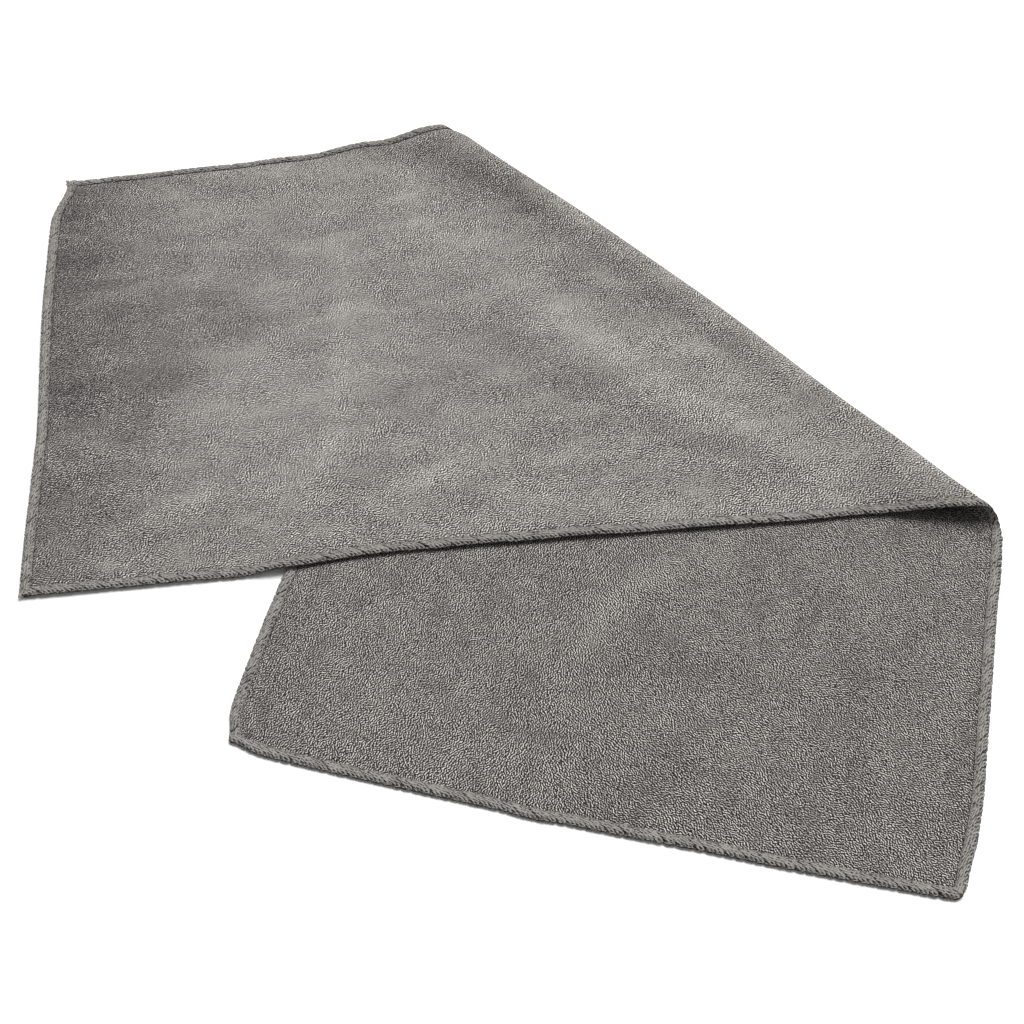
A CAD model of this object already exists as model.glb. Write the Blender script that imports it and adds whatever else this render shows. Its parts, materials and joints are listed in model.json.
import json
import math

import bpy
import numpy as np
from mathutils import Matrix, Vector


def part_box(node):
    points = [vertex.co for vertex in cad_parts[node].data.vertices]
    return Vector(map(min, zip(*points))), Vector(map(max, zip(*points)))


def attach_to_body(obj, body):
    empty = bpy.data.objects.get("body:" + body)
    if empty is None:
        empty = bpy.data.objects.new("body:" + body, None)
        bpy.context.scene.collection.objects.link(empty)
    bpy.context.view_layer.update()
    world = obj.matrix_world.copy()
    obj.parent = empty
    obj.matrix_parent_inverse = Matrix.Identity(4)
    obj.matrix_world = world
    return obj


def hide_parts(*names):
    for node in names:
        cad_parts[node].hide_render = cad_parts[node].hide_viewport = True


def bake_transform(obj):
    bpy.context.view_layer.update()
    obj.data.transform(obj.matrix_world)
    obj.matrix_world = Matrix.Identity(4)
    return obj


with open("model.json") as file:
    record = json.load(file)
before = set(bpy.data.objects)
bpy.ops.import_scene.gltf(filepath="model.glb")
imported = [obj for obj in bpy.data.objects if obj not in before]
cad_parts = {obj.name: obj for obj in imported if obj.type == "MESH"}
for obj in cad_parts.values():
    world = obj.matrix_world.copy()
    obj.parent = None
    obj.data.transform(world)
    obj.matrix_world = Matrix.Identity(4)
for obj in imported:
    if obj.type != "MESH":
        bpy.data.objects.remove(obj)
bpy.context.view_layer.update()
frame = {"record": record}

# Looks of the quick dry towel: the cloth with its pile, the overlocked hems stitch by stitch, and the studio.
#
# Shapes are worked out in millimetres from the lower half's front left corner, X along its front edge and Y
# along its long edges, and go into the CAD frame when their meshes are made. The whole sheet is one map from
# (across, along) to a point: across runs 0 to 1 from the left long edge to the right one, and along runs
# 0 to 1 over the lower half, 1 to 2 round the roll and 2 to 3 over the flap. The sheet's normal points out of
# the cloth's face, which is up on the lower half and down on the flap.

MM = 0.001

# Sheet
WIDTH = 300.0
MIDDLE_HEIGHT = 1.2
CLOTH_HALF = 0.7
TONGUE_HALF = 0.34
GROOVE_HALF = 0.42
CLOTH_EDGE = 1.0

# Lower half
FRONT_LEFT_BACK = 5.1
FRONT_RIGHT_FORWARD = 4.0
FRONT_BOW = 2.75
FRONT_LEFT_PULL = (4.1, 2.6)
FRONT_LEFT_REACH = 12
FRONT_RIGHT_PULL = (-2.2, 1.2)
FRONT_RIGHT_REACH = 5
RIGHT_BULGE = 1.6
RIGHT_CORNER_IN = 2.1
LEFT_BULGE = 0.6
FOLD_END_BULGE = 1.6
FOLD_END_REACH = 26
LOWER_WAVES = {"seed": 11, "lengths": (60, 38), "height": 0.5}
FRONT_LEFT_CORNER = np.array([0.0, FRONT_LEFT_BACK])
FRONT_RIGHT_CORNER = np.array([WIDTH, -FRONT_RIGHT_FORWARD])
FOLD_LEFT = np.array([0.0, 406.0])
FOLD_RIGHT = np.array([300.0, 187.0])

# Flap
FLAP_FRONT_CORNER = np.array([-107.0, 61.5])
FLAP_BACK_CORNER = np.array([-198.0, 337.0])
FLAP_FRONT_LENGTH = 419.0
RIGHT_EDGE_BACK = np.array([-0.316, 0.949])
LEFT_EDGE_BACK = np.array([-0.374, 0.928])
OVER_LOWER = 2.45
BACK_CORNER_IN = 7.6
BACK_CORNER_SHARE = 0.13
RIDGE_BESIDE_ROLL = 2.2
FLAP_WAVES = {"seed": 5, "lengths": (75, 46, 31), "height": 0.9}

# Roll of the fold. It is thicker on the left, and thins between two shares of the way across
MEAN_RADIUS = 5.2
THIN_RADIUS = 5.1
THICK_EXTRA = 0.9
THICK_HALF_HEIGHT = 5.55
ROLL_THINS = (0.5, 0.85)
LEFT_PULL_REACH = 16
RIGHT_PULL_REACH = 12
FOLD_BOW = 2.2
FOLD_BOW_MORE = 2.4

# Grid of the cloth: depths of the first rows beside a hem, the depth where even rows start, and how many
NEAR_HEM_DEPTHS = [CLOTH_EDGE, 1.8, 2.8, 3.3, 3.8, 4.2, 4.7, 5.3, 6.1, 7.1, 8.5, 10.4]
EVEN_DEPTH = 12.4
EVEN_COLUMNS = 138
LOWER_STEPS = 165
ROLL_STEPS = 26
FLAP_STEPS = 175

# Depths between which the cloth changes thickness, and the line of flattened nap beside the hem
TONGUE_TO_GROOVE = (3.3, 4.1)
GROOVE_TO_FULL = (4.5, 7.0)
HEM_LINE_DEPTH = 4.2
HEM_LINE_WIDTH = 0.6

# Overlocked hem
STITCH_DEPTH = 3.9
PITCH = 3.9
LEAN = 1.25 * PITCH
STRAND_LEVEL = 0.72
STRAND_WIDTH = 0.9
STRAND_HEIGHT = 0.5
STRAND_SPREAD = 0.23
STRAND_NARROWING = 0.78
RIM_ROUND = 1.3
NEEDLE_INSET = 0.15
NEEDLE_LEVEL = 0.74
NEEDLE_DIP = 0.42
NEEDLE_RADIUS = 0.3
TAIL_ROOT = 2.4
TAIL_RADIUS = 0.4
TAIL_STRAND_RADIUS = 0.6
TAIL_TWIST = 4.5
RING = 8
CORNER_ROUND = 1.2
HEM_CROSSING = 2.8

# Pile: how its tufts lie on the flat sheet, in degrees, and the sizes of its patterns, in metres
FACE_LAY_LEFT = 70
FACE_LAY_TURN = 79
REVERSE_LAY = 58
TUFT_LENGTH = 1.6
TUFT_GAIN = 11.0
TUFT_SHARE = 0.48
WANDER_SIZE = 0.014
WANDER_TURN = 1.8
RAISED_SIZE = 0.011
RAISED_SPREAD = 2.6
RAISED_LEAST = -0.6
RAISED_SHADE = 0.13
PATCH_SIZE = 0.016
NAP_SHADE = 0.085
BLACK = (0.0, 0.0, 0.0)

# Camera, light and floor
CAMERA_AZIMUTH = 12.34
CAMERA_ELEVATION = 47.0
CAMERA_LENS = 69.8
CAMERA_PLACE = Vector((0.1667, -0.6395, 0.6481))
WORLD_STRENGTH = 0.31
FLOOR_HALF = 40.0

ALONG_FOLD = (FOLD_RIGHT - FOLD_LEFT) / np.linalg.norm(FOLD_RIGHT - FOLD_LEFT)
OUT_OF_FOLD = np.array([-ALONG_FOLD[1], ALONG_FOLD[0]])
FOLD_LENGTH = np.linalg.norm(FOLD_RIGHT - FOLD_LEFT)
EDGE_TRAVEL = math.pi * MEAN_RADIUS * abs(ALONG_FOLD[1] / OUT_OF_FOLD[1])


def frame_origin():
    """Where the lower half's front left corner is in the CAD frame, in metres."""
    low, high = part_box("lower_looper_left_lower")
    return Vector((low.x, high.y - FOLD_LEFT[1] * MM, 0.0))


ORIGIN = frame_origin()


def to_frame(points):
    """Millimetres from the front left corner to metres in the CAD frame."""
    return np.asarray(points) * MM + np.array(ORIGIN)


def mix(a, b, share):
    return a + (b - a) * share


def rise(value, start, end):
    """0 before start, 1 after end, and smooth between."""
    share = np.clip((np.asarray(value, float) - start) / (end - start), 0.0, 1.0)
    return share**3 * (10 - 15 * share + 6 * share**2)


def hill(distance, width):
    return np.exp(-((distance / width) ** 2))


def stack(x, y):
    return np.stack(np.broadcast_arrays(x, y), -1)


def distance_to_line(xy, line):
    """Distance of each point from a line of straight runs."""
    nearest = np.full(xy.shape[:-1], np.inf)
    for start, end in zip(line, line[1:]):
        start, end = np.array(start, float), np.array(end, float)
        run = end - start
        share = np.clip(((xy - start) @ run) / (run @ run), 0.0, 1.0)
        nearest = np.minimum(nearest, np.linalg.norm(xy - (start + share[..., None] * run), axis=-1))
    return nearest


# Most points of these marks were picked by eye in the photo, and turned into millimetres on the cloth by
# another script, through the solved camera. The rest, and all widths, heights and strengths, were set by
# hand.
#
# Soft ridges in the cloth: line, half width, height
FLAP_RIDGES = [
    ([(2, 158), (-8, 205), (-19, 250), (-31, 299), (-51, 338)], 7, 0.7),
    ([(29, 139), (47, 164), (62, 180), (78, 192)], 7, 1.0),
    ([(4, 163), (16, 187), (34, 214)], 8, 0.6),
    ([(-80, 103), (-63, 119), (-47, 135)], 8, 0.9),
    ([(-125, 157), (-100, 149), (-74, 150)], 7, 0.7),
    ([(-30, 359), (20, 342), (55, 328), (82, 328)], 12, 0.8),
]
LOWER_RIDGES = [
    ([(133, 85), (151, 123), (177, 145)], 9, 1.1),
    ([(205, 5), (212, 35)], 9, 0.4),
]

# Where the nap lies so that it looks lighter or darker: line, half width, strength
FLAP_NAP = [
    ([(2, 158), (-8, 205), (-19, 250), (-31, 299), (-51, 338)], 6, 0.5),
    ([(-121, 243), (-84, 256), (-60, 250)], 20, -0.8),
    ([(-126, 184), (-94, 168)], 14, -0.8),
    ([(-87, 206), (-95, 215)], 16, -0.8),
    ([(-159, 281), (-182, 303)], 18, -0.2),
    ([(-91, 117), (-61, 103)], 12, -0.5),
    ([(-132, 337), (-152, 310)], 14, 0.4),
    ([(-57, 257), (-56, 190)], 16, 0.3),
    ([(-185, 305), (-128, 100)], 50, -2.2),
    ([(-80, 103), (-63, 119), (-47, 135)], 6, 0.7),
    ([(-125, 157), (-100, 149), (-74, 150)], 6, 0.6),
    ([(-150, 240), (-120, 268), (-95, 276)], 5, 0.25),
    ([(-20, 330), (20, 330), (50, 322)], 16, 0.5),
    ([(-80, 402), (-48, 400), (-15, 392), (8, 388), (34, 372), (50, 360)], 10, -1.2),
    ([(150, 240), (190, 232), (225, 214)], 12, 0.65),
    ([(85, 278), (107, 268), (124, 262), (143, 247)], 13, 0.75),
    ([(134, 279), (173, 254)], 8, 0.4),
    ([(52, 276), (85, 246), (134, 222), (195, 205)], 12, -0.4),
    ([(29, 139), (47, 164), (62, 180), (78, 192)], 5, 0.5),
    ([(240, 206), (269, 217)], 10, 0.6),
    ([(70, 372), (290, 204)], 12, 0.5),
]
LOWER_NAP = [
    ([(133, 85), (151, 123), (177, 145)], 8, 1.1),
    ([(182, 27), (195, 30)], 14, -0.5),
    ([(232, 222), (258, 208), (292, 190)], 9, -1.4),
    ([(246, 41), (249, 93)], 16, -0.4),
    ([(4, 87), (13, 20)], 12, -0.4),
    ([(208, 7), (212, 33)], 8, 0.4),
    ([(259, 67), (262, 60)], 12, 0.4),
    ([(52, 32), (60, 60)], 18, 0.3),
]


def summed(xy, marks):
    total = np.zeros(xy.shape[:-1])
    for line, width, strength in marks:
        total += strength * hill(distance_to_line(xy, line), width)
    return total


def waves(xy, seed, lengths, height):
    """Gentle uneven waves of the cloth, between 0 and height."""
    random = np.random.default_rng(seed)
    total = np.zeros(xy.shape[:-1])
    for length in lengths:
        for _ in range(4):
            turn = random.uniform(0, math.pi)
            phase = random.uniform(0, 2 * math.pi)
            way = np.array([math.cos(turn), math.sin(turn)]) * (2 * math.pi / length)
            total += np.sin(xy @ way + phase)
    return height * (0.5 + 0.5 * np.tanh(total / math.sqrt(4 * len(lengths))))


# The sheet's map

def fold_bow(across):
    """How far the soft fold bows out from a straight line."""
    travel = across * FOLD_LENGTH
    grown = FOLD_BOW + FOLD_BOW_MORE * rise(travel, 10, 125)
    return grown * (1 - 0.62 * rise(travel, 165, 300) - 0.32 * rise(travel, 305, 360))


def fold_place(across):
    across = np.asarray(across, float)
    return mix(FOLD_LEFT, FOLD_RIGHT, across[..., None]) + OUT_OF_FOLD * fold_bow(across)[..., None]


def front_place(across):
    """The front edge, bowed forwards, with two small waves of its own."""
    y = mix(FRONT_LEFT_BACK, -FRONT_RIGHT_FORWARD, across) - FRONT_BOW * 4 * across * (1 - across)
    y = y - 0.9 * hill(WIDTH * across - 131, 9) + 0.5 * hill(WIDTH * across - 195, 20)
    return stack(WIDTH * across, y)


def corner_pull(plan, corner, pull, reach):
    """Rounds a corner of the sheet off, by pulling it inwards."""
    distance = np.linalg.norm(plan - corner, axis=-1)
    return hill(distance, reach)[..., None] * np.array(pull)


def fold_end_bulge(plan):
    """The cloth spreads to the right below the roll's open end."""
    return FOLD_END_BULGE * hill(np.linalg.norm(plan - FOLD_RIGHT, axis=-1), FOLD_END_REACH)


def lower_point(across, share):
    plan = mix(front_place(across), fold_place(across), share[..., None])
    y = plan[..., 1]
    bulge = RIGHT_BULGE * rise(y, 8, 55) * (1 - rise(y, 150, 200))
    right_bulge = bulge - RIGHT_CORNER_IN * (1 - rise(y, 0, 30))
    left_bulge = LEFT_BULGE * hill(y - 65, 35)
    plan[..., 0] += rise(across, 0.8, 1.0) * right_bulge - (1 - rise(across, 0.0, 0.2)) * left_bulge
    plan[..., 0] += fold_end_bulge(plan)
    left_pull = corner_pull(plan, FRONT_LEFT_CORNER, FRONT_LEFT_PULL, FRONT_LEFT_REACH)
    right_pull = corner_pull(plan, FRONT_RIGHT_CORNER, FRONT_RIGHT_PULL, FRONT_RIGHT_REACH)
    plan += left_pull + right_pull
    away = rise(y, 0, 20) * (1 - rise(share, 0.9, 1.0))
    lift = summed(plan, LOWER_RIDGES) + waves(plan, **LOWER_WAVES)
    return np.concatenate([plan, (MIDDLE_HEIGHT + lift * away)[..., None]], -1)


def roll_radius(across):
    """How far the roll stands out beyond the fold line."""
    return THIN_RADIUS + THICK_EXTRA * (1 - rise(across, *ROLL_THINS))


def end_pull(across):
    """How close a point is to either end of the roll, where the hem draws the roll in."""
    left = 1 - rise(across * FOLD_LENGTH, 0, LEFT_PULL_REACH)
    right = 1 - rise((1 - across) * FOLD_LENGTH, 0, RIGHT_PULL_REACH)
    return left, right


def roll_height(across):
    """Half of the roll's height. It sags a little where it is thick."""
    left, right = end_pull(across)
    height = mix(THICK_HALF_HEIGHT, THIN_RADIUS, rise(across, *ROLL_THINS))
    return height - 0.6 * left - 0.2 * right


def roll_point(across, share):
    turn = math.pi * share
    left, right = end_pull(across)
    plan = fold_place(across) - ALONG_FOLD * (EDGE_TRAVEL * share)[..., None]
    outward = (roll_radius(across) - 3.2 * left - 0.7 * right) * np.sin(turn)
    plan[..., 0] += fold_end_bulge(plan) * (1 - share) ** 3
    plan = plan + OUT_OF_FOLD * outward[..., None]
    height = MIDDLE_HEIGHT + roll_height(across) * (1 - np.cos(turn))
    return np.concatenate([plan, height[..., None]], -1)


def end_place(across):
    """The flap's end edge, from its back corner to its front one."""
    plan = mix(FLAP_BACK_CORNER, FLAP_FRONT_CORNER, np.asarray(across)[..., None])
    y = plan[..., 1]
    near_back = np.cos(np.clip(across / BACK_CORNER_SHARE, 0, 1) * math.pi / 2)
    back_corner = BACK_CORNER_IN * near_back**2
    plan[..., 0] += back_corner + 1.8 * hill(y - 155, 42) - 0.7 * hill(y - 250, 30)
    return plan


def right_edge_bow(share):
    """How far the flap's front edge stands back from a straight line."""
    along = FLAP_FRONT_LENGTH * (1 - share)
    hollow = 4.7 * rise(along, 90, 170) * (1 - rise(along, 360, FLAP_FRONT_LENGTH))
    return 2.5 * np.sin(math.pi * share) + 1.6 * hill(along - 380, 25) + hollow


def left_edge_bow(share):
    return 0.6 * np.sin(2 * math.pi * share) - 0.8 * np.sin(math.pi * share)


def flap_height(across, plan):
    """Height of the flap's middle: down from the roll, level over the lower half, and down its left edge."""
    inward = -(plan - FOLD_LEFT) @ OUT_OF_FOLD
    top = MIDDLE_HEIGHT + 2 * roll_height(across)
    back = np.maximum(plan[..., 1] - 150, 0)
    drop_top = -1 - 0.0007 * back**2
    drop_width = 18 + 0.1 * back
    base = MIDDLE_HEIGHT + OVER_LOWER * rise((plan[..., 0] - drop_top) / drop_width, -1, 0)
    slope_middle = 1 - 0.5 * rise(inward, -3, 15) - 0.5 * rise(inward, 6, 42)
    slope_back = 1 - 0.88 * rise(inward, -2, 31) - 0.12 * rise(inward, 31, 60)
    slope_mouth = 1 - rise(inward, 3, 36)
    fall = mix(slope_middle, slope_back, 1 - rise(across, 0.02, 0.24))
    fall = mix(fall, slope_mouth, rise(across, 0.7, 0.97))
    height = mix(base, top, fall)
    bounce = rise(across, 0.02, 0.15) * (1 - rise(across, 0.62, 0.8))
    height = height + RIDGE_BESIDE_ROLL * bounce * hill(inward - 57, 17)
    lift = summed(plan, FLAP_RIDGES) + waves(plan, **FLAP_WAVES)
    return height + lift * rise(inward, 8, 40)


def flap_point(across, share):
    top = fold_place(across) - ALONG_FOLD * EDGE_TRAVEL
    plan = mix(top, end_place(across), share[..., None])
    plan = plan + RIGHT_EDGE_BACK * (across * right_edge_bow(share))[..., None]
    plan = plan + LEFT_EDGE_BACK * ((1 - across) * left_edge_bow(share))[..., None]
    return np.concatenate([plan, flap_height(across, plan)[..., None]], -1)


def sheet_point(across, along):
    """The sheet's map: a place on the sheet to its point in space."""
    across, along = np.broadcast_arrays(np.asarray(across, float), np.asarray(along, float))
    lower = lower_point(across, np.clip(along, 0, 1))
    roll = roll_point(across, np.clip(along - 1, 0, 1))
    flap = flap_point(across, np.clip(along - 2, 0, 1))
    on_lower = (along <= 1)[..., None]
    on_roll = (along <= 2)[..., None]
    return np.where(on_lower, lower, np.where(on_roll, roll, flap))


def lower_length(across):
    return np.linalg.norm(fold_place(across) - front_place(across), axis=-1)


def roll_length(across):
    return math.pi * roll_radius(across) / OUT_OF_FOLD[1]


def flap_length(across):
    start = fold_place(across) - ALONG_FOLD * EDGE_TRAVEL
    return np.linalg.norm(end_place(across) - start, axis=-1)


def flat_length(across, along):
    """Distance along the flat sheet from its front edge."""
    lower = np.clip(along, 0, 1) * lower_length(across)
    roll = np.clip(along - 1, 0, 1) * roll_length(across)
    return lower + roll + np.clip(along - 2, 0, 1) * flap_length(across)


def along_at(across, length):
    """The place along the sheet that is so far from its front edge when flat."""
    lower, roll, flap = lower_length(across), roll_length(across), flap_length(across)
    on_roll = np.clip((length - lower) / roll, 0, 1)
    on_flap = np.clip((length - lower - roll) / flap, 0, 1)
    return np.clip(length / lower, 0, 1) + on_roll + on_flap


def region_length(across, along):
    """Length along the sheet of the stretch that a place is on."""
    on_flap = np.where(along > 2, flap_length(across), roll_length(across))
    return np.where(along <= 1, lower_length(across), on_flap)


def unit(vectors):
    return vectors / np.maximum(np.linalg.norm(vectors, axis=-1, keepdims=True), 1e-12)


def sheet_normal(across, along):
    """The direction out of the cloth's face."""
    across, along = np.broadcast_arrays(np.asarray(across, float), np.asarray(along, float))
    step = 1.0 / region_length(across, along)
    wide = 1.0 / WIDTH
    before = sheet_point(across, np.clip(along - step, 0, 3))
    after = sheet_point(across, np.clip(along + step, 0, 3))
    left = sheet_point(np.clip(across - wide, 0, 1), along)
    right = sheet_point(np.clip(across + wide, 0, 1), along)
    return unit(np.cross(right - left, after - before))


# Meshes

def new_object(name, points, faces, materials, slots=None):
    mesh = bpy.data.meshes.new(name)
    mesh.from_pydata(to_frame(points).tolist(), [], faces)
    for material in materials:
        mesh.materials.append(material)
    if slots is not None:
        mesh.polygons.foreach_set("material_index", np.asarray(slots, np.int32))
    mesh.polygons.foreach_set("use_smooth", np.ones(len(mesh.polygons), bool))
    made = bpy.data.objects.new(name, mesh)
    bpy.context.scene.collection.objects.link(made)
    return made


def give_values(made, name, values, kind="FLOAT"):
    """Stores a value, or a vector, on each point of the mesh for its material to read."""
    attribute = made.data.attributes.new(name, kind, "POINT")
    field = "value" if kind == "FLOAT" else "vector"
    attribute.data.foreach_set(field, np.ascontiguousarray(values, np.float32).ravel())


def across_steps():
    middle = np.linspace(EVEN_DEPTH, WIDTH - EVEN_DEPTH, EVEN_COLUMNS)
    far = [WIDTH - d for d in reversed(NEAR_HEM_DEPTHS)]
    return np.concatenate([NEAR_HEM_DEPTHS, middle, far]) / WIDTH


def lower_rows(across):
    length = lower_length(across)
    near = [d / length for d in NEAR_HEM_DEPTHS]
    rest = [mix(EVEN_DEPTH / length, 1.0, k / LOWER_STEPS) for k in range(LOWER_STEPS + 1)]
    return np.array(near + rest)


def roll_rows(across):
    return np.array([np.full_like(across, 1 + k / ROLL_STEPS) for k in range(ROLL_STEPS + 1)])


def flap_rows(across):
    length = flap_length(across)
    rest = [2 + mix(0.0, 1 - EVEN_DEPTH / length, k / FLAP_STEPS) for k in range(FLAP_STEPS + 1)]
    near = [3 - d / length for d in reversed(NEAR_HEM_DEPTHS)]
    return np.array(rest + near)


def edge_depth(across, along):
    """How deep a point is inside the sheet, from the nearest cut edge."""
    sides = np.minimum(across, 1 - across) * WIDTH
    front = np.where(along <= 1, along * lower_length(across), np.inf)
    end = np.where(along >= 2, (3 - along) * flap_length(across), np.inf)
    return np.minimum(sides, np.minimum(front, end))


def cloth_half_thickness(depth):
    """Thin under the stitches, drawn in at the needle's line, and full inside it."""
    near_hem = mix(TONGUE_HALF, GROOVE_HALF, rise(depth, *TONGUE_TO_GROOVE))
    return mix(near_hem, CLOTH_HALF, rise(depth, *GROOVE_TO_FULL))


def grid_normals(grid, outwards):
    """Smooth normals of a grid of points, turned to the side of outwards."""
    down = np.gradient(grid, axis=0)
    side = np.gradient(grid, axis=1)
    normals = unit(np.cross(side, down))
    flip = np.sum(normals * outwards, -1, keepdims=True) < 0
    return np.where(flip, -normals, normals)


def cut_lengths(across, along):
    """Place on the flat sheet in metres, for the cloth's own pattern."""
    return np.stack([across * WIDTH, flat_length(across, along), np.zeros_like(across)], -1) * MM


def face_lay(across):
    """The direction in which the face's tufts lie on the flat sheet."""
    return np.radians(FACE_LAY_LEFT + FACE_LAY_TURN * rise(across, 0.3, 0.62))


def cloth_sides():
    """Both surfaces of the whole cloth as grids of points, with their normals and what the material reads."""
    columns = across_steps()
    parts = [lower_rows(columns), roll_rows(columns)[1:], flap_rows(columns)[1:]]
    along = np.concatenate(parts)
    across = np.broadcast_to(columns, along.shape)
    middle = sheet_point(across, along)
    out = sheet_normal(across, along)
    depth = edge_depth(across, along)
    half = cloth_half_thickness(depth)[..., None]
    face, reverse = middle + out * half, middle - out * half
    nap = np.where(along <= 1, summed(middle[..., :2], LOWER_NAP), summed(middle[..., :2], FLAP_NAP))
    starts = [0, len(parts[0]) - 1, len(parts[0]) + len(parts[1]) - 1]
    ends = [len(parts[0]), len(parts[0]) + len(parts[1]), len(along)]
    return {
        "face": face,
        "reverse": reverse,
        "face_normal": grid_normals(face, out),
        "reverse_normal": grid_normals(reverse, -out),
        "place": cut_lengths(across, along),
        "nap": nap - hill(depth - HEM_LINE_DEPTH, HEM_LINE_WIDTH),
        "face_lay": face_lay(across),
        "reverse_lay": np.full_like(across, math.radians(REVERSE_LAY)),
        "rows": dict(zip(("cloth_lower", "cloth_fold", "cloth_flap"), zip(starts, ends))),
    }


def grid_faces(rows, columns, first, flip):
    """Squares of a grid of points whose first point has that number."""
    i, j = np.meshgrid(np.arange(rows - 1), np.arange(columns - 1), indexing="ij")
    a = first + i * columns + j
    ring = [a, a + 1, a + columns + 1, a + columns]
    if flip:
        ring.reverse()
    return np.stack(ring, -1).reshape(-1, 4)


def border(rows, columns):
    """The numbers of a grid's border points, in order round it."""
    grid = np.arange(rows * columns).reshape(rows, columns)
    return np.concatenate([grid[0, :-1], grid[:-1, -1], grid[-1, :0:-1], grid[:0:-1, 0]])


def cloth_piece(node, sides, materials):
    """One closed piece of the cloth: its face, its reverse and a narrow wall round them."""
    start, end = sides["rows"][node]
    face, reverse = sides["face"][start:end], sides["reverse"][start:end]
    rows, columns = face.shape[:2]
    count = rows * columns
    points = np.concatenate([face.reshape(-1, 3), reverse.reshape(-1, 3)])
    ring = border(rows, columns)
    after = np.roll(ring, -1)
    wall = np.stack([after, ring, ring + count, after + count], -1)
    top = grid_faces(rows, columns, 0, False)
    bottom = grid_faces(rows, columns, count, True)
    faces = np.concatenate([top, bottom, wall])
    slots = np.concatenate([np.zeros(len(top)), np.ones(len(bottom)), np.zeros(len(wall))])
    made = new_object(node + "_pile", points, faces.tolist(), materials, slots)
    normals = [sides[key][start:end].reshape(-1, 3) for key in ("face_normal", "reverse_normal")]
    point_normals = np.concatenate(normals)
    loops = point_normals[faces.ravel()]
    corners = points[wall]
    wall_normals = unit(np.cross(corners[:, 1] - corners[:, 0], corners[:, 3] - corners[:, 0]))
    loops[-4 * len(wall):] = np.repeat(wall_normals, 4, axis=0)
    made.data.normals_split_custom_set(loops.tolist())
    place = sides["place"][start:end].reshape(-1, 3)
    back = place + np.array([0, 0, 0.5])
    give_values(made, "cloth_place", np.concatenate([place, back]), "FLOAT_VECTOR")
    nap = sides["nap"][start:end].ravel()
    give_values(made, "nap", np.concatenate([nap, nap]))
    lays = [sides["face_lay"][start:end].ravel(), sides["reverse_lay"][start:end].ravel()]
    give_values(made, "lay", np.concatenate(lays))
    return made


# Hem stitches

class Edge:
    """One cut edge of the sheet, measured along its hem in the order front, right, end, left."""

    def __init__(self, name):
        self.name = name
        dense = np.linspace(0, 1, 6001)
        self.share = dense
        across, along = self.place(dense, np.full_like(dense, STITCH_DEPTH / 2))
        line = sheet_point(across, along)
        steps = np.linalg.norm(np.diff(line, axis=0), axis=-1)
        self.travelled = np.concatenate([[0], np.cumsum(steps)])
        self.length = self.travelled[-1]

    def place(self, share, depth):
        """Place on the sheet of a point by its share of the edge and its depth inside it."""
        if self.name == "front":
            return share, depth / lower_length(share)
        if self.name == "end":
            return 1 - share, 3 - depth / flap_length(1 - share)
        if self.name == "right":
            rim, across, along = 1.0, 1 - depth / WIDTH, 3 * share
        else:
            rim, across, along = 0.0, depth / WIDTH, 3 * (1 - share)
        return across, along_at(across, flat_length(np.full_like(share, rim), along))

    def at(self, travel, depth):
        share = np.interp(travel, self.travelled, self.share)
        return self.place(share, depth)

    def hem_ends(self):
        """Where the hem's stitches start and stop: the side hems run in under the front and end ones."""
        inside = HEM_CROSSING if self.name in ("left", "right") else CORNER_ROUND * 0.3
        return inside, self.length - inside

    def rim_depth(self, travel):
        """How far a rounded corner cuts into the edge."""
        short = np.clip(CORNER_ROUND - np.minimum(travel, self.length - travel), 0, CORNER_ROUND)
        return CORNER_ROUND - np.sqrt(CORNER_ROUND**2 - short**2)


def tube(points, normals, widths, heights):
    """A closed tube of flattened section along a path. Gives its points, its faces and what the thread's
    material reads: how far along the path a point is, its angle round it, and how far up it faces."""
    tangents = unit(np.gradient(points, axis=0))
    side = unit(np.cross(normals, tangents))
    up = np.cross(tangents, side)
    angles = np.arange(RING) * 2 * math.pi / RING
    ring = side[:, None] * (np.cos(angles)[:, None] * widths[:, None, None])
    ring = ring + up[:, None] * (np.sin(angles)[:, None] * heights[:, None, None])
    made = (points[:, None] + ring).reshape(-1, 3)
    count = len(points)
    i, j = np.meshgrid(np.arange(count - 1), np.arange(RING), indexing="ij")
    k = (j + 1) % RING
    faces = np.stack([i * RING + j, i * RING + k, (i + 1) * RING + k, (i + 1) * RING + j], -1)
    faces = faces.reshape(-1, 4).tolist()
    faces.append(list(range(RING))[::-1])
    faces.append([(count - 1) * RING + n for n in range(RING)])
    travelled = np.concatenate([[0], np.cumsum(np.linalg.norm(np.diff(points, axis=0), axis=-1))])
    round_path = np.tile(angles, count)
    facing_up = np.tile(np.sin(angles), count)
    strand = np.stack([np.repeat(travelled, RING), round_path, facing_up], -1)
    return made, faces, strand


def joined(tubes):
    points, faces, strands = [], [], []
    first = 0
    for made, tube_faces, strand in tubes:
        points.append(made)
        faces += [[n + first for n in face] for face in tube_faces]
        strands.append(strand)
        first += len(made)
    return np.concatenate(points), faces, np.concatenate(strands)


def thread_piece(node, tubes, material):
    points, faces, strand = joined(tubes)
    made = new_object(node + "_stitches", points, faces, [material])
    give_values(made, "strand", strand, "FLOAT_VECTOR")
    return made


def strand_level(depth, rim, inner):
    """Height of a looper strand's middle above the cloth's middle, from the rim to the needle's line."""
    near_rim = np.clip((depth - rim) / RIM_ROUND, 0, 1)
    over_rim = np.sqrt(1 - (1 - near_rim) ** 2)
    return mix(0.08, STRAND_LEVEL, over_rim) - 0.3 * rise(depth, inner - 1.0, inner)


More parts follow.
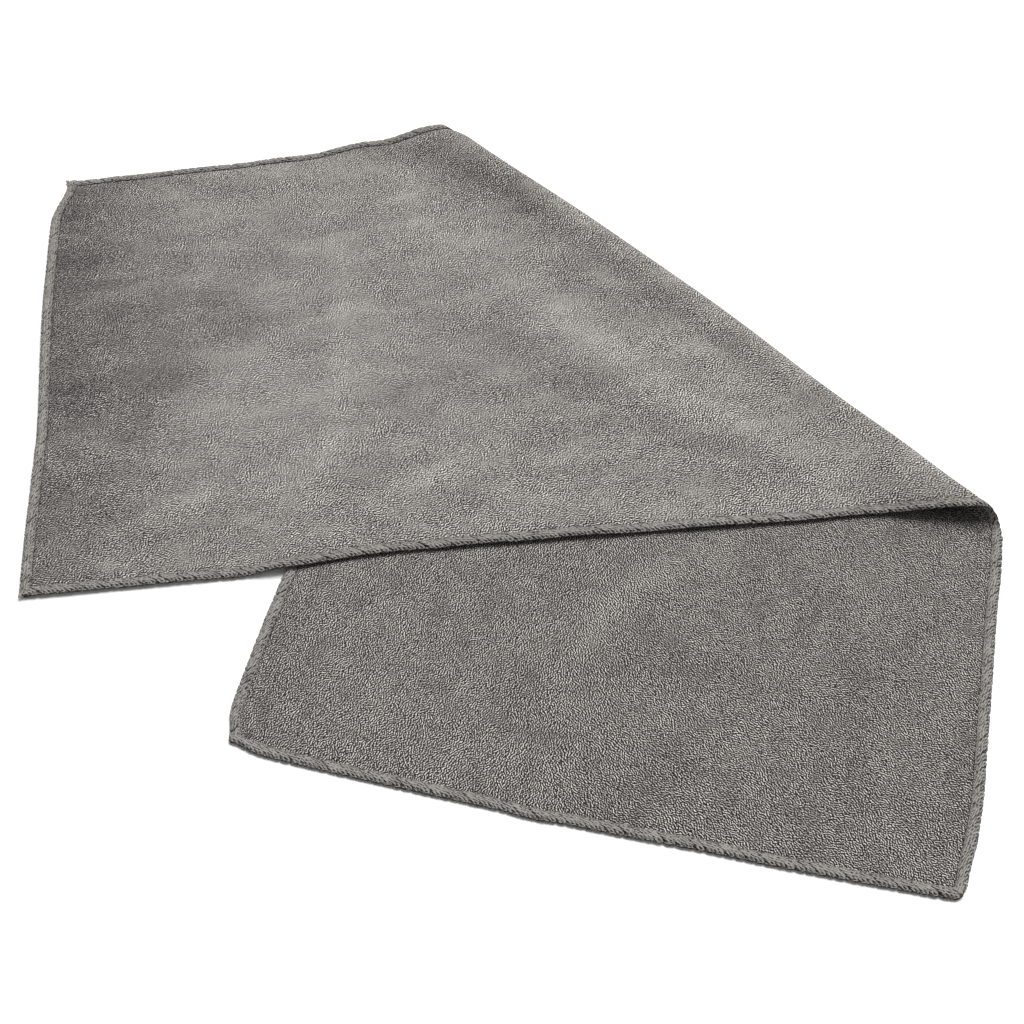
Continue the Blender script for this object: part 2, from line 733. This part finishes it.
def looper_path(edge, first, last, side, random):
    """A looper thread's run over stitches first to last, on the face (side 1) or the reverse (side -1)."""
    numbers = np.arange(first, last + 1)
    count = len(numbers)
    start = numbers * PITCH + random.normal(0, 0.12, count)
    lean = side * LEAN * (1 + random.normal(0, 0.07, count))
    spread = STRAND_SPREAD + random.normal(0, 0.02, count)
    share = np.linspace(0, 1, 9)
    turn = np.linspace(0, 1, 5)[1:-1]
    ease = mix(share, rise(share, 0, 1), 0.25)
    centre = start + 0.5 * PITCH
    half = (spread * PITCH)[:, None]
    stroke = centre[:, None] + lean[:, None] * ease
    go = stroke - half * mix(STRAND_NARROWING, 1.0, share)
    rim = (centre + lean)[:, None] + half * mix(-1, 1, turn)
    back = stroke[:, ::-1] + half * mix(1.0, STRAND_NARROWING, share)
    needle = centre[:, None] + mix(half * STRAND_NARROWING, PITCH - half * STRAND_NARROWING, turn)
    travel = np.concatenate([go, rim, back, needle], 1)
    inwards = np.concatenate([1 - share, 0 * turn, share, 0 * turn + 1])
    inwards = np.broadcast_to(inwards, travel.shape).ravel()
    travel = np.clip(travel.ravel(), *edge.hem_ends())
    loop_points = len(share) * 2 + len(turn) * 2
    inner = STITCH_DEPTH + np.repeat(random.normal(0, 0.12, count), loop_points)
    outer = edge.rim_depth(travel) + STRAND_WIDTH * 0.3
    depth = mix(outer, inner, inwards)
    loose = np.repeat(random.normal(0, 0.05, count), loop_points)
    level = side * (strand_level(depth, outer, inner) + loose)
    across, along = edge.at(travel, depth)
    out = sheet_normal(across, along)
    points = sheet_point(across, along) + out * level[:, None]
    thick = np.repeat(1 + random.normal(0, 0.07, count), loop_points)
    pinch = 1 - 0.2 * rise(inwards, 0.75, 1.0)
    return tube(points, out, STRAND_WIDTH * thick * pinch, STRAND_HEIGHT * thick)


def needle_path(edge, start, end, side):
    """The needle thread along the inner side of the hem, drawn into the cloth at each hole."""
    count = max(int((end - start) / PITCH * 10), 12)
    travel = np.linspace(start, end, count)
    from_hole = (travel / PITCH - np.round(travel / PITCH)) * PITCH
    depth = np.full(count, STITCH_DEPTH + NEEDLE_INSET)
    level = side * (NEEDLE_LEVEL - NEEDLE_DIP * hill(from_hole, 0.5))
    across, along = edge.at(travel, depth)
    out = sheet_normal(across, along)
    points = sheet_point(across, along) + out * level[:, None]
    width = np.full(count, NEEDLE_RADIUS)
    made, faces, strand = tube(points, out, width, width * 0.9)
    strand[:, 2] *= np.repeat(1 - hill(from_hole, 0.7), RING)
    return made, faces, strand


def edge_regions(edge):
    """Names and ends of the stretches of an edge: one per body it crosses."""
    if edge.name in ("front", "end"):
        return [(edge.name, 0.0, edge.length)]
    order = ["lower", "fold", "flap"]
    if edge.name == "left":
        order.reverse()
    cuts = [np.interp(third / 3, edge.share, edge.travelled) for third in (1, 2)]
    limits = [0.0, *cuts, edge.length]
    return [(f"{edge.name}_{part}", limits[n], limits[n + 1]) for n, part in enumerate(order)]


# Materials

def node_material(name):
    material = bpy.data.materials.new(name)
    material.use_nodes = True
    tree = material.node_tree
    return material, tree, tree.nodes["Principled BSDF"]


def maths(tree, operation, a, b):
    node = tree.nodes.new("ShaderNodeMath")
    node.operation = operation
    for socket, value in zip(node.inputs, (a, b)):
        if isinstance(value, (int, float)):
            socket.default_value = value
        else:
            tree.links.new(value, socket)
    return node.outputs[0]


def read_attribute(tree, name):
    node = tree.nodes.new("ShaderNodeAttribute")
    node.attribute_name = name
    return node


def noise(tree, vector, size, detail=2.0, roughness=0.5, distortion=0.0):
    """Soft noise with features of that size in metres, 0 to 1."""
    node = tree.nodes.new("ShaderNodeTexNoise")
    node.inputs["Scale"].default_value = 1 / size
    node.inputs["Detail"].default_value = detail
    node.inputs["Roughness"].default_value = roughness
    node.inputs["Distortion"].default_value = distortion
    tree.links.new(vector, node.inputs["Vector"])
    return node.outputs["Fac"]


def worms(tree, vector, spacing, lay, combed):
    """Short winding tufts of the pile, of that spacing in metres, about -1 to 1. They lie along lay, an
    angle, and combed is how much: 0 is every way, 1 is all one way."""
    node = tree.nodes.new("ShaderNodeTexGabor")
    node.gabor_type = "2D"
    node.inputs["Scale"].default_value = 1 / (spacing * TUFT_LENGTH)
    node.inputs["Frequency"].default_value = TUFT_LENGTH
    node.inputs["Anisotropy"].default_value = combed
    tree.links.new(maths(tree, "SUBTRACT", lay, math.pi / 2), node.inputs["Orientation"])
    tree.links.new(vector, node.inputs["Vector"])
    return maths(tree, "TANH", about_middle(tree, node.outputs["Value"], TUFT_GAIN), 0.0)


def coloured(tree, factor, dark, light):
    node = tree.nodes.new("ShaderNodeMix")
    node.data_type = "RGBA"
    tree.links.new(factor, node.inputs["Factor"])
    node.inputs["A"].default_value = (*dark, 1)
    node.inputs["B"].default_value = (*light, 1)
    return node.outputs["Result"]


def bumped(tree, shader, height, distance, strength):
    node = tree.nodes.new("ShaderNodeBump")
    node.inputs["Strength"].default_value = strength
    node.inputs["Distance"].default_value = distance
    tree.links.new(height, node.inputs["Height"])
    tree.links.new(node.outputs["Normal"], shader.inputs["Normal"])


def stretched(tree, vector, along):
    """The same place with its length along the towel scaled."""
    node = tree.nodes.new("ShaderNodeVectorMath")
    node.operation = "MULTIPLY"
    node.inputs[1].default_value = (1, along, 1)
    tree.links.new(vector, node.inputs[0])
    return node.outputs["Vector"]


def about_middle(tree, value, strength):
    """A value of 0 to 1 made to swing about 0."""
    return maths(tree, "MULTIPLY", maths(tree, "SUBTRACT", value, 0.5), strength)


def cloth_material(name, light, spacing, relief, middle, contrast, combed, patchy):
    """Brushed microfibre: short winding tufts, softer clumps, and patches where the nap lies another way."""
    material, tree, shader = node_material(name)
    place = read_attribute(tree, "cloth_place").outputs["Vector"]
    wander = about_middle(tree, noise(tree, place, WANDER_SIZE, 1.0, 0.5), WANDER_TURN)
    lay = maths(tree, "ADD", read_attribute(tree, "lay").outputs["Fac"], wander)
    tufts = worms(tree, place, spacing, lay, combed)
    fine = about_middle(tree, noise(tree, place, spacing * 0.6, 0.0, 0.5), 1.3)
    clumps = noise(tree, place, spacing * 5, 2.0, 0.5)
    patches = noise(tree, stretched(tree, place, 0.45), PATCH_SIZE, 2.0, 0.5, 0.5)
    uneven = noise(tree, stretched(tree, place, 0.7), RAISED_SIZE, 2.0, 0.6)
    raised = maths(tree, "MAXIMUM", about_middle(tree, uneven, RAISED_SPREAD), RAISED_LEAST)
    grain = maths(tree, "ADD", maths(tree, "MULTIPLY", tufts, TUFT_SHARE), fine)
    height = maths(tree, "MULTIPLY", grain, maths(tree, "ADD", raised, 1.0))
    bumped(tree, shader, maths(tree, "ADD", height, clumps), relief, 1.0)
    nap = maths(tree, "MULTIPLY", read_attribute(tree, "nap").outputs["Fac"], NAP_SHADE)
    shade = maths(tree, "SUBTRACT", height, maths(tree, "MULTIPLY", raised, RAISED_SHADE))
    shade = maths(tree, "MULTIPLY", shade, contrast)
    shade = maths(tree, "ADD", shade, about_middle(tree, patches, patchy))
    shade = maths(tree, "ADD", maths(tree, "ADD", shade, nap), middle)
    shade = maths(tree, "POWER", maths(tree, "MAXIMUM", shade, 0.0), 2.0)
    tree.links.new(coloured(tree, shade, BLACK, light), shader.inputs["Base Color"])
    shader.inputs["Roughness"].default_value = 0.95
    shader.inputs["Specular IOR Level"].default_value = 0.1
    shader.inputs["Sheen Weight"].default_value = 0.3
    shader.inputs["Sheen Roughness"].default_value = 0.5
    shader.inputs["Sheen Tint"].default_value = (0.9, 0.88, 0.85, 1)
    return material


def thread_material(name, dark, light):
    """Soft textured polyester thread: fine filaments that twist slowly along each strand."""
    material, tree, shader = node_material(name)
    strand = read_attribute(tree, "strand").outputs["Vector"]
    split = tree.nodes.new("ShaderNodeSeparateXYZ")
    tree.links.new(strand, split.inputs[0])
    twisted = maths(tree, "ADD", split.outputs["Y"], maths(tree, "MULTIPLY", split.outputs["X"], 0.5))
    filaments = maths(tree, "SINE", maths(tree, "MULTIPLY", twisted, 5.0), 0.0)
    place = tree.nodes.new("ShaderNodeTexCoord").outputs["Object"]
    fuzz = noise(tree, place, 0.0008, 3.0, 0.6)
    uneven = noise(tree, place, 0.004, 2.0, 0.5)
    height = maths(tree, "ADD", maths(tree, "MULTIPLY", filaments, 0.3), fuzz)
    facing = maths(tree, "POWER", maths(tree, "ABSOLUTE", split.outputs["Z"], 0.0), 2.0)
    crest = maths(tree, "MULTIPLY", facing, 1.2)
    shade = about_middle(tree, fuzz, 2.8)
    shade = maths(tree, "ADD", shade, maths(tree, "SUBTRACT", crest, 0.74))
    shade = maths(tree, "ADD", shade, maths(tree, "MULTIPLY", filaments, 0.4))
    shade = maths(tree, "ADD", shade, uneven)
    tree.links.new(coloured(tree, shade, dark, light), shader.inputs["Base Color"])
    bumped(tree, shader, height, 0.0002, 1.0)
    shader.inputs["Roughness"].default_value = 0.85
    shader.inputs["Specular IOR Level"].default_value = 0.25
    shader.inputs["Sheen Weight"].default_value = 0.2
    shader.inputs["Sheen Roughness"].default_value = 0.5
    return material


# Making the towel

BODY_OF = {n: body for body, members in frame["record"]["behaviour"]["bodies"].items() for n in members}


def attach(piece, node):
    """Puts a piece in a CAD node's stead, on the node's body, or bending with the roll."""
    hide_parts(node)
    if node.endswith("_fold"):
        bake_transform(piece)
    else:
        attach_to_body(piece, BODY_OF[node])


def make_cloth():
    face = cloth_material(
        "cloth_face", light=(0.80, 0.746, 0.693), spacing=0.00101, relief=0.0006,
        middle=0.28, contrast=1.25, combed=0.5, patchy=0.2,
    )
    reverse = cloth_material(
        "cloth_reverse", light=(0.95, 0.895, 0.838), spacing=0.00118, relief=0.0005,
        middle=0.443, contrast=0.68, combed=0.42, patchy=0.25,
    )
    sides = cloth_sides()
    pieces = {}
    for node in sides["rows"]:
        pieces[node] = cloth_piece(node, sides, [face, reverse])
        attach(pieces[node], node)
    return pieces


def make_hems():
    thread = thread_material("hem_thread", (0.008, 0.0075, 0.007), (0.305, 0.288, 0.267))
    pieces = {}
    for number, name in enumerate(["front", "right", "end", "left"]):
        edge = Edge(name)
        random = np.random.default_rng(number + 1)
        for region, start, end in edge_regions(edge):
            first, last = math.ceil(start / PITCH), math.ceil(end / PITCH) - 1
            needle_start, needle_end = np.clip((start, end), *edge.hem_ends())
            before, after = int(start == 0.0), int(end == edge.length)
            needle = [needle_path(edge, needle_start, needle_end, side) for side in (1, -1)]
            tubes = {
                f"upper_looper_{region}": [looper_path(edge, first - before, last, 1, random)],
                f"lower_looper_{region}": [looper_path(edge, first, last + after, -1, random)],
                f"needle_thread_{region}": needle,
            }
            for node, made in tubes.items():
                pieces[node] = thread_piece(node, made, thread)
                attach(pieces[node], node)
    return pieces


def make_tails():
    """The sewn threads' cut ends: a short twist of yarn out of each corner."""
    thread = bpy.data.materials["hem_thread"]
    corners = {"front_left": (0, 0), "front_right": (1, 0), "end_right": (1, 3), "end_left": (0, 3)}
    lengths = {"front_left": -1.4, "front_right": -1.2, "end_right": 0.8, "end_left": 2.2}
    pieces = {}
    for name, (across, along) in corners.items():
        corner = sheet_point(across, along)
        inside = sheet_point(abs(across - 10 / WIDTH), abs(along - 10 / region_length(across, along)))
        outwards = unit((corner - inside) * [1, 1, 0])
        size = lengths[name] + TAIL_ROOT
        share = np.linspace(0, 1, 14)
        aside = np.cross([0, 0, 1], outwards)
        tubes = []
        for strand in range(3):
            turn = 2 * math.pi * (strand / 3 + share * size / TAIL_TWIST)
            path = corner + outwards * (share * size - TAIL_ROOT)[:, None]
            path = path + aside * (TAIL_RADIUS * np.cos(turn))[:, None]
            path = path + [0, 0, 1] * (TAIL_RADIUS * np.sin(turn))[:, None]
            width = TAIL_STRAND_RADIUS * np.sqrt(1 - 0.8 * rise(share, 0.7, 1.0))
            tubes.append(tube(path, np.tile([0.0, 0, 1], (len(share), 1)), width, width))
        node = "chain_tail_" + name
        pieces[node] = thread_piece(node, tubes, thread)
        attach(pieces[node], node)
    return pieces


def declare_sheets():
    """The cloth is one sheet cut to 300 by 622 mm; each of its three stretches is declared with its share."""
    across = np.linspace(0, 1, 101)
    lengths = {
        "cloth_lower": lower_length(across),
        "cloth_fold": roll_length(across),
        "cloth_flap": flap_length(across),
    }


# Studio

def make_camera():
    azimuth, elevation = math.radians(CAMERA_AZIMUTH), math.radians(CAMERA_ELEVATION)
    ahead = Vector((
        -math.sin(azimuth) * math.cos(elevation),
        math.cos(azimuth) * math.cos(elevation),
        -math.sin(elevation),
    ))
    data = bpy.data.cameras.new("camera")
    data.lens = CAMERA_LENS
    data.sensor_width = 36.0
    camera = bpy.data.objects.new("camera", data)
    camera.location = CAMERA_PLACE
    camera.rotation_mode = "QUATERNION"
    camera.rotation_quaternion = ahead.to_track_quat("-Z", "Y")
    bpy.context.scene.collection.objects.link(camera)
    bpy.context.scene.camera = camera


def make_sun(name, azimuth, elevation, strength, softness):
    """A soft distant light. azimuth is where it stands: 0 is beyond the towel, 90 to its right."""
    data = bpy.data.lights.new(name, "SUN")
    data.energy = strength
    data.angle = math.radians(softness)
    lamp = bpy.data.objects.new(name, data)
    a, e = math.radians(azimuth), math.radians(elevation)
    towards = Vector((math.sin(a) * math.cos(e), math.cos(a) * math.cos(e), math.sin(e)))
    lamp.rotation_mode = "QUATERNION"
    lamp.rotation_quaternion = towards.to_track_quat("Z", "Y")
    bpy.context.scene.collection.objects.link(lamp)


def make_studio():
    corners = [(-1, -1), (1, -1), (1, 1), (-1, 1)]
    mesh = bpy.data.meshes.new("floor")
    mesh.from_pydata([(x * FLOOR_HALF, y * FLOOR_HALF, 0) for x, y in corners], [], [(0, 1, 2, 3)])
    floor = bpy.data.objects.new("floor", mesh)
    bpy.context.scene.collection.objects.link(floor)
    material, _, shader = node_material("floor_white")
    shader.inputs["Base Color"].default_value = (0.97, 0.97, 0.97, 1)
    shader.inputs["Roughness"].default_value = 0.9
    shader.inputs["Specular IOR Level"].default_value = 0.0
    mesh.materials.append(material)
    world = bpy.data.worlds.new("studio")
    world.use_nodes = True
    world.node_tree.nodes["Background"].inputs["Color"].default_value = (1, 1, 1, 1)
    world.node_tree.nodes["Background"].inputs["Strength"].default_value = WORLD_STRENGTH
    bpy.context.scene.world = world
    make_sun("key", azimuth=20, elevation=62, strength=3.85, softness=50)
    bpy.context.scene.view_settings.view_transform = "Standard"


make_camera()
cloth_pieces = make_cloth()
thread_pieces = {**make_hems(), **make_tails()}
declare_sheets()
make_studio()
